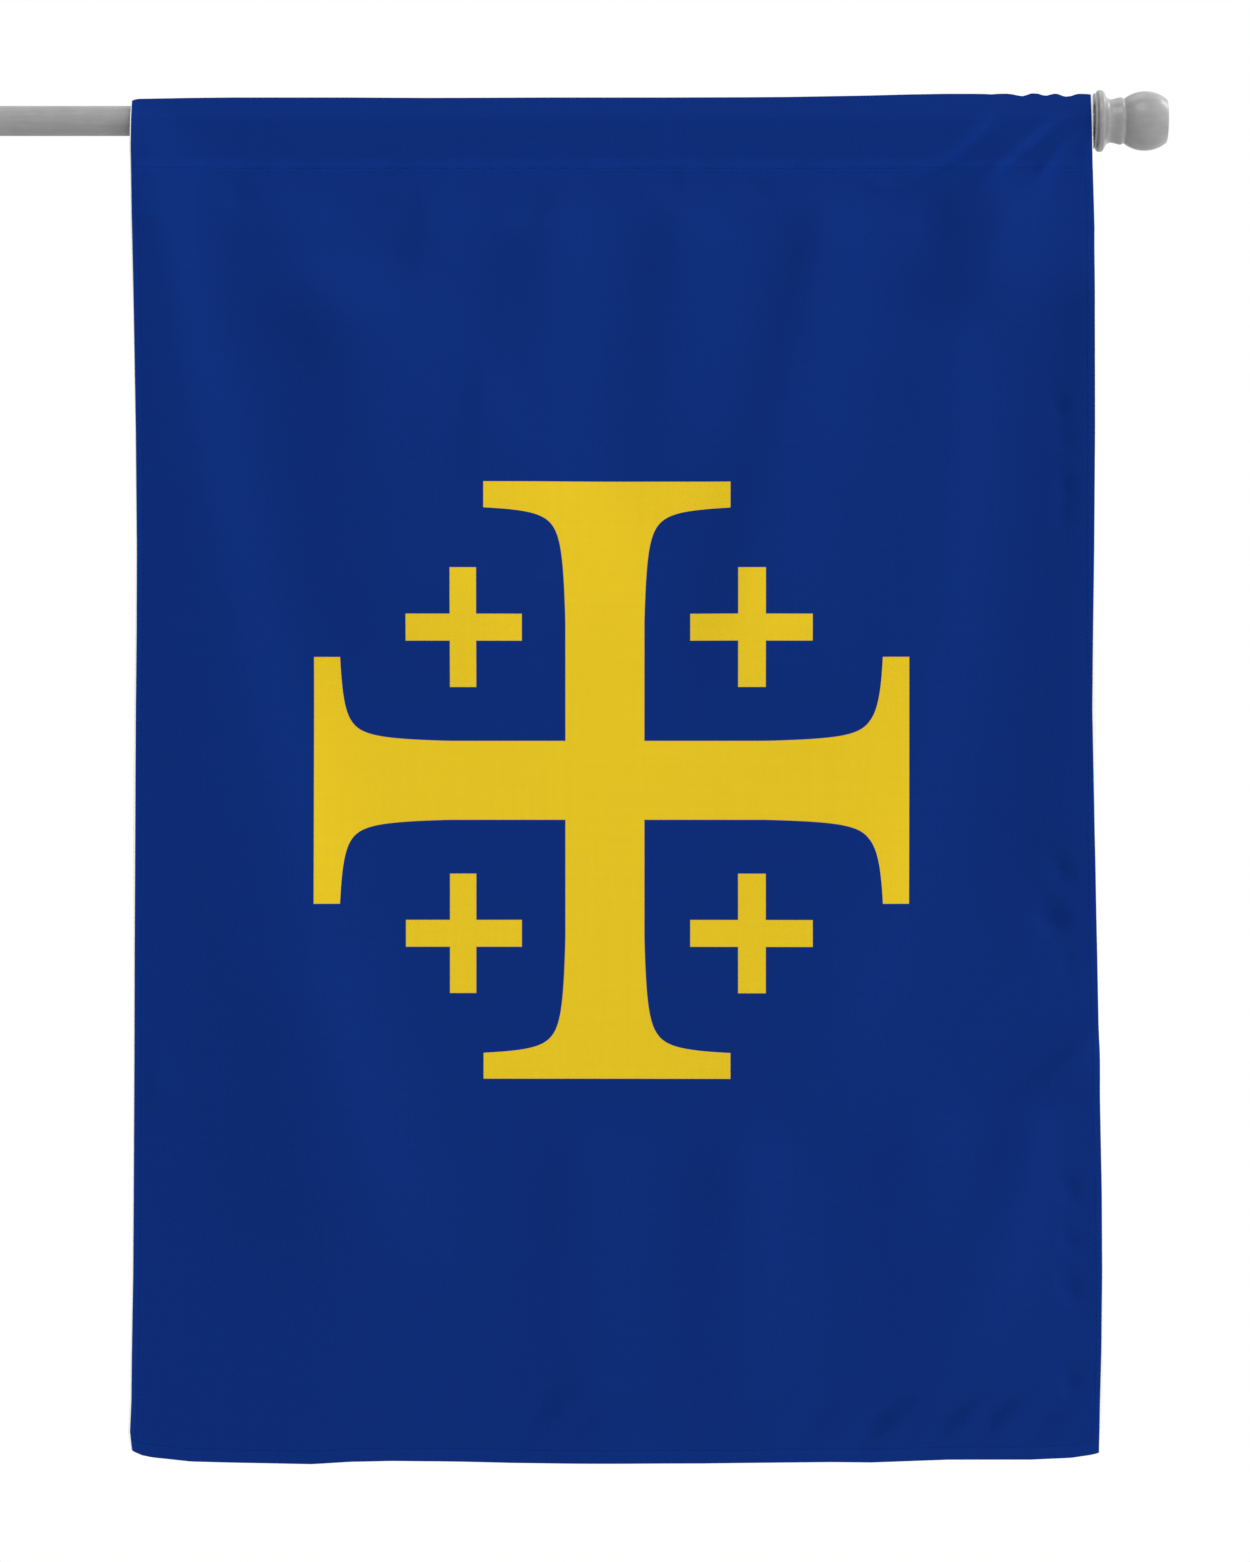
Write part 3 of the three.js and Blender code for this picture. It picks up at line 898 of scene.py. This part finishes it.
def node(tree, kind, inputs=(), out=0, **settings):
    """Adds a node with its settings and inputs, by value or by link, and gives an output."""
    made = tree.nodes.new(kind)
    for name, value in settings.items():
        setattr(made, name, value)
    pairs = inputs.items() if isinstance(inputs, dict) else enumerate(inputs)
    for key, value in pairs:
        if isinstance(value, bpy.types.NodeSocket):
            tree.links.new(value, made.inputs[key])
        else:
            made.inputs[key].default_value = value
    return made.outputs[out] if made.outputs else None


def pattern_scale(*sizes):
    """The scale each way of a pattern in metres, from its real sizes in millimetres."""
    return tuple(1 / (size * MM) for size in sizes)


def new_material(name):
    material = bpy.data.materials.new(name)
    material.use_nodes = True
    material.node_tree.nodes.clear()
    return material, material.node_tree


def finish_material(tree, inputs):
    shader = node(tree, "ShaderNodeBsdfPrincipled", inputs)
    node(tree, "ShaderNodeOutputMaterial", {"Surface": shader})


def away_from(tree, place, middle):
    """How far a place lies to either side of a middle."""
    away = node(tree, MATH, (place, middle), operation="SUBTRACT")
    return node(tree, MATH, (away,), operation="ABSOLUTE")


def inside_cross(tree, beside, below, half_bar, reach):
    """How far inside a cross a place lies, from how far it is beside and below the middle."""
    far = node(tree, MATH, (beside, below), operation="MAXIMUM")
    near = node(tree, MATH, (beside, below), operation="MINIMUM")
    in_bar = node(tree, MATH, (half_bar(far), near), operation="SUBTRACT")
    in_reach = node(tree, MATH, (reach, far), operation="SUBTRACT")
    return node(tree, MATH, (in_bar, in_reach), operation="MINIMUM")


def cross_mask(tree, across, down):
    """One where the gold print lies, from the flat place in millimetres."""

    def flared_bar(far):
        to_end = node(tree, MATH, (FLARE_END, far), operation="SUBTRACT")
        to_end = node(tree, MATH, (to_end, FLARE_LEAST), operation="MAXIMUM")
        flare = node(tree, MATH, (FLARE, to_end), operation="DIVIDE")
        flare = node(tree, MATH, (flare, FLARE_START), operation="SUBTRACT")
        flare = node(tree, MATH, (flare, 0.0), operation="MAXIMUM")
        half = node(tree, MATH, (flare, CROSS_BAR / 2), operation="ADD")
        return node(tree, MATH, (half, CROSS_FOOT), operation="MINIMUM")

    def plain_bar(far):
        return SMALL_BAR / 2

    beside = away_from(tree, across, CROSS_ACROSS)
    below = away_from(tree, down, CROSS_DOWN)
    large = inside_cross(tree, beside, below, flared_bar, CROSS_REACH)
    by = away_from(tree, beside, SMALL_ACROSS)
    under = away_from(tree, below, SMALL_DOWN)
    small = inside_cross(tree, by, under, plain_bar, SMALL_REACH)
    inside = node(tree, MATH, (large, small), operation="MAXIMUM")
    bled = {"Value": inside, "From Min": -INK_BLEED, "From Max": INK_BLEED}
    return node(tree, "ShaderNodeMapRange", bled, interpolation_type="SMOOTHSTEP")


def woven_relief(tree, across, down):
    """The over and under of a plain weave, from -1 to 1."""
    turn = math.pi / CLOTH_THREAD
    waves = []
    for place in (across, down):
        phase = node(tree, MATH, (place, turn), operation="MULTIPLY")
        waves.append(node(tree, MATH, (phase,), operation="SINE"))
    return node(tree, MATH, tuple(waves), operation="MULTIPLY")


def yarn_streaks(tree, flat):
    """Thick and thin yarns as long faint streaks both ways across the cloth, about 1 in all."""
    streaks = []
    for across, down in ((YARN_WIDTH, YARN_LENGTH), (YARN_LENGTH, YARN_WIDTH)):
        scale = (*pattern_scale(across, down), 1.0)
        stretched = node(tree, "ShaderNodeMapping", {"Vector": flat, "Scale": scale})
        yarns = {"Vector": stretched, "Scale": 1.0, "Detail": 2.0}
        streaks.append(node(tree, "ShaderNodeTexNoise", yarns))
    return node(tree, MATH, tuple(streaks), operation="ADD")


def printed_polyester(name, blue, gold, bare):
    """Dye-printed polyester in a plain weave. It reads as a flat, soft colour that follows every
    fold, with fine crossed threads and a slight sheen where the cloth turns away."""
    material, tree = new_material(name)
    flat = node(tree, "ShaderNodeUVMap", uv_map="flat_cloth")
    place = node(tree, "ShaderNodeVectorMath", {0: flat, 3: 1 / MM}, operation="SCALE")
    split = node(tree, "ShaderNodeSeparateXYZ", (place,)).node
    across, down = split.outputs[0], split.outputs[1]
    gold_mask = cross_mask(tree, across, down)
    inks = {0: gold_mask, 6: linear(blue), 7: linear(gold)}
    ink = node(tree, "ShaderNodeMix", inks, out=2, data_type="RGBA")
    reach = node(tree, "ShaderNodeAttribute", attribute_name="print_reach", out=2)
    print_edge = {"Value": reach, "From Min": -0.2, "From Max": 0.25}
    printed = node(tree, "ShaderNodeMapRange", print_edge, interpolation_type="SMOOTHSTEP")
    cloth_and_ink = {0: printed, 6: linear(bare), 7: ink}
    colour = node(tree, "ShaderNodeMix", cloth_and_ink, out=2, data_type="RGBA")
    relief = woven_relief(tree, across, down)
    streaks = yarn_streaks(tree, flat)
    painted_highlight = node(tree, "ShaderNodeAttribute", attribute_name="painted_highlight", out=2)
    tone = node(tree, MATH, (streaks, 0.05, 0.95), operation="MULTIPLY_ADD")
    tone = node(tree, MATH, (relief, 0.02, tone), operation="MULTIPLY_ADD")
    # A painted highlight lightens the hems, the seam and the pulled slack.
    tone = node(tree, MATH, (painted_highlight, 0.1, tone), operation="MULTIPLY_ADD")
    colour = node(tree, "ShaderNodeHueSaturation", {"Value": tone, "Color": colour})
    height = node(tree, MATH, (streaks, 0.6, relief), operation="MULTIPLY_ADD")
    bump = node(tree, "ShaderNodeBump", {"Strength": 0.35, "Distance": 0.05 * MM, "Height": height})
    finish_material(
        tree,
        {
            "Base Color": colour,
            "Roughness": 0.72,
            "IOR": 1.5,
            "Specular IOR Level": 0.04,
            "Sheen Weight": 0.1,
            "Sheen Roughness": 0.4,
            "Sheen Tint": linear("#2F58C8"),
            "Normal": bump,
        },
    )
    return material


def painted_wood(name, grey):
    """Turned softwood under satin grey paint: a softly mottled grey that dimly mirrors the
    lights, with the grain telegraphing through as long faint streaks and a wavy figure."""
    material, tree = new_material(name)
    place = node(tree, "ShaderNodeTexCoord", out=3)
    figure_scale = pattern_scale(FIGURE_LENGTH, FIGURE_WIDTH, FIGURE_WIDTH)
    figure = node(tree, "ShaderNodeMapping", {"Vector": place, "Scale": figure_scale})
    figured = {"Vector": figure, "Scale": 1.0, "Detail": 3.0, "Distortion": 0.6}
    figure = node(tree, "ShaderNodeTexNoise", figured)
    mottle_scale = pattern_scale(PAINT_MOTTLE)[0]
    mottled = {"Vector": place, "Scale": mottle_scale, "Detail": 2.0}
    mottle = node(tree, "ShaderNodeTexNoise", mottled)
    grain_scale = pattern_scale(GRAIN_LENGTH, GRAIN_WIDTH, GRAIN_WIDTH)
    grain = node(tree, "ShaderNodeMapping", {"Vector": place, "Scale": grain_scale})
    grain = node(tree, "ShaderNodeTexNoise", {"Vector": grain, "Scale": 1.0, "Detail": 2.0})
    tone = node(tree, MATH, (figure, 0.3, 0.66), operation="MULTIPLY_ADD")
    tone = node(tree, MATH, (mottle, 0.28, tone), operation="MULTIPLY_ADD")
    tone = node(tree, MATH, (grain, 0.1, tone), operation="MULTIPLY_ADD")
    colour = node(tree, "ShaderNodeHueSaturation", {"Value": tone, "Color": linear(grey)})
    relief = node(tree, MATH, (figure, 0.5, grain), operation="MULTIPLY_ADD")
    bump = node(tree, "ShaderNodeBump", {"Strength": 0.25, "Distance": 0.05 * MM, "Height": relief})
    roughness = node(tree, MATH, (figure, 0.12, 0.24), operation="MULTIPLY_ADD")
    finish_material(
        tree,
        {
            "Base Color": colour,
            "Roughness": roughness,
            "IOR": 1.5,
            "Coat Weight": 0.2,
            "Coat Roughness": 0.22,
            "Normal": bump,
        },
    )
    return material


def spun_thread(name, code):
    """Twisted polyester sewing thread, as blue and as matt as the cloth that it is sewn into."""
    material, tree = new_material(name)
    place = node(tree, "ShaderNodeTexCoord", out=3)
    twisted = {"Vector": place, "Scale": pattern_scale(THREAD_TWIST)[0], "Detail": 1.0}
    twist = node(tree, "ShaderNodeTexNoise", twisted)
    tone = node(tree, MATH, (twist, 0.4, 0.8), operation="MULTIPLY_ADD")
    colour = node(tree, "ShaderNodeHueSaturation", {"Value": tone, "Color": linear(code)})
    bump = node(tree, "ShaderNodeBump", {"Strength": 0.4, "Distance": 0.05 * MM, "Height": twist})
    finish_material(
        tree,
        {
            "Base Color": colour,
            "Roughness": 0.8,
            "IOR": 1.5,
            "Specular IOR Level": 0.05,
            "Normal": bump,
        },
    )
    return material


def studio_floor():
    """A round pale matt floor, under the flag and clear of the picture."""
    material, tree = new_material("studio_paper")
    finish_material(tree, {"Base Color": linear("#EFEFED"), "Roughness": 0.9, "IOR": 1.45})
    mesh = bpy.data.meshes.new("studio_floor")
    rim = []
    for turn in (2 * math.pi * i / FLOOR_SIDES for i in range(FLOOR_SIDES)):
        x = PICTURE_ACROSS * MM + FLOOR_RADIUS * math.cos(turn)
        rim.append((x, FLOOR_RADIUS * math.sin(turn), FLOOR_HEIGHT))
    mesh.from_pydata(rim, [], [list(range(FLOOR_SIDES))])
    mesh.materials.append(material)
    add_object("studio_floor", mesh)


def soft_box(light_row):
    """A square soft light that looks at the middle of the cloth."""
    light = bpy.data.lights.new(light_row.name, "AREA")
    light.shape = "SQUARE"
    light.size = light_row.size
    light.energy = light_row.power
    made = add_object(light_row.name, light)
    made.location = light_row.place
    middle = Vector((PICTURE_ACROSS * MM, 0, -PICTURE_DOWN * MM))
    made.rotation_euler = (middle - made.location).to_track_quat("-Z", "Y").to_euler()


def light_studio():
    """A pale room that is brightest to the right, which the camera sees as plain white."""
    world = bpy.data.worlds.new("studio")
    world.use_nodes = True
    tree = world.node_tree
    tree.nodes.clear()
    look = node(tree, "ShaderNodeTexCoord")
    sides = (look, BRIGHT_SIDE)
    to_right = node(tree, "ShaderNodeVectorMath", sides, out=1, operation="DOT_PRODUCT")
    strength = node(tree, MATH, (to_right, ROOM_SLOPE, ROOM_LIGHT), operation="MULTIPLY_ADD")
    room = node(tree, "ShaderNodeBackground", {"Color": (1, 1, 1, 1), "Strength": strength})
    seen = node(tree, "ShaderNodeBackground", {"Color": (1, 1, 1, 1), "Strength": 1.0})
    to_camera = node(tree, "ShaderNodeLightPath")
    mixed = node(tree, "ShaderNodeMixShader", {0: to_camera, 1: room, 2: seen})
    node(tree, "ShaderNodeOutputWorld", {"Surface": mixed})
    bpy.context.scene.world = world
    bpy.context.scene.view_settings.view_transform = "Standard"
    for light_row in LIGHTS:
        soft_box(light_row)


def place_camera():
    """A long lens square on to the printed face."""
    lens = bpy.data.cameras.new("camera")
    lens.lens = LENS
    lens.sensor_width = SENSOR
    camera = add_object("camera", lens)
    distance = PICTURE_HEIGHT * LENS / SENSOR
    camera.location = Vector((PICTURE_ACROSS, -distance, -PICTURE_DOWN)) * MM
    camera.rotation_euler = (math.pi / 2, 0, 0)
    bpy.context.scene.camera = camera


def settle(piece, slot, *nodes):
    """Fixes a piece to the one body and hides the solids it stands for; its slot is not used."""
    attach(piece, "root")
    if nodes:
        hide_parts(*nodes)
    return piece


place_camera()
light_studio()
studio_floor()

face_side = printed_polyester("printed_face", "#082A74", "#DEBD21", "#E9E9E6")
reverse_side = printed_polyester("printed_reverse", "#27428A", "#E3C74C", "#E9E9E6")
grey_paint = painted_wood("grey_painted_wood", "#8C8C8C")
blue_thread = spun_thread("blue_sewing_thread", "#082A70")

cloth = settle(build_cloth(face_side, reverse_side), "flag_cloth", "flag_cloth")
for line_name, line in sewing_lines().items():
    settle(build_sewing(line_name, line, blue_thread), "flag_cloth")
pole = turned_piece("painted_pole", pole_profile(), 0, grey_paint)
settle(pole, "painted_wood", "pole")
finial = turned_piece("turned_finial", finial_profile(), FINIAL_START, grey_paint)
settle(finial, "painted_wood", "finial")
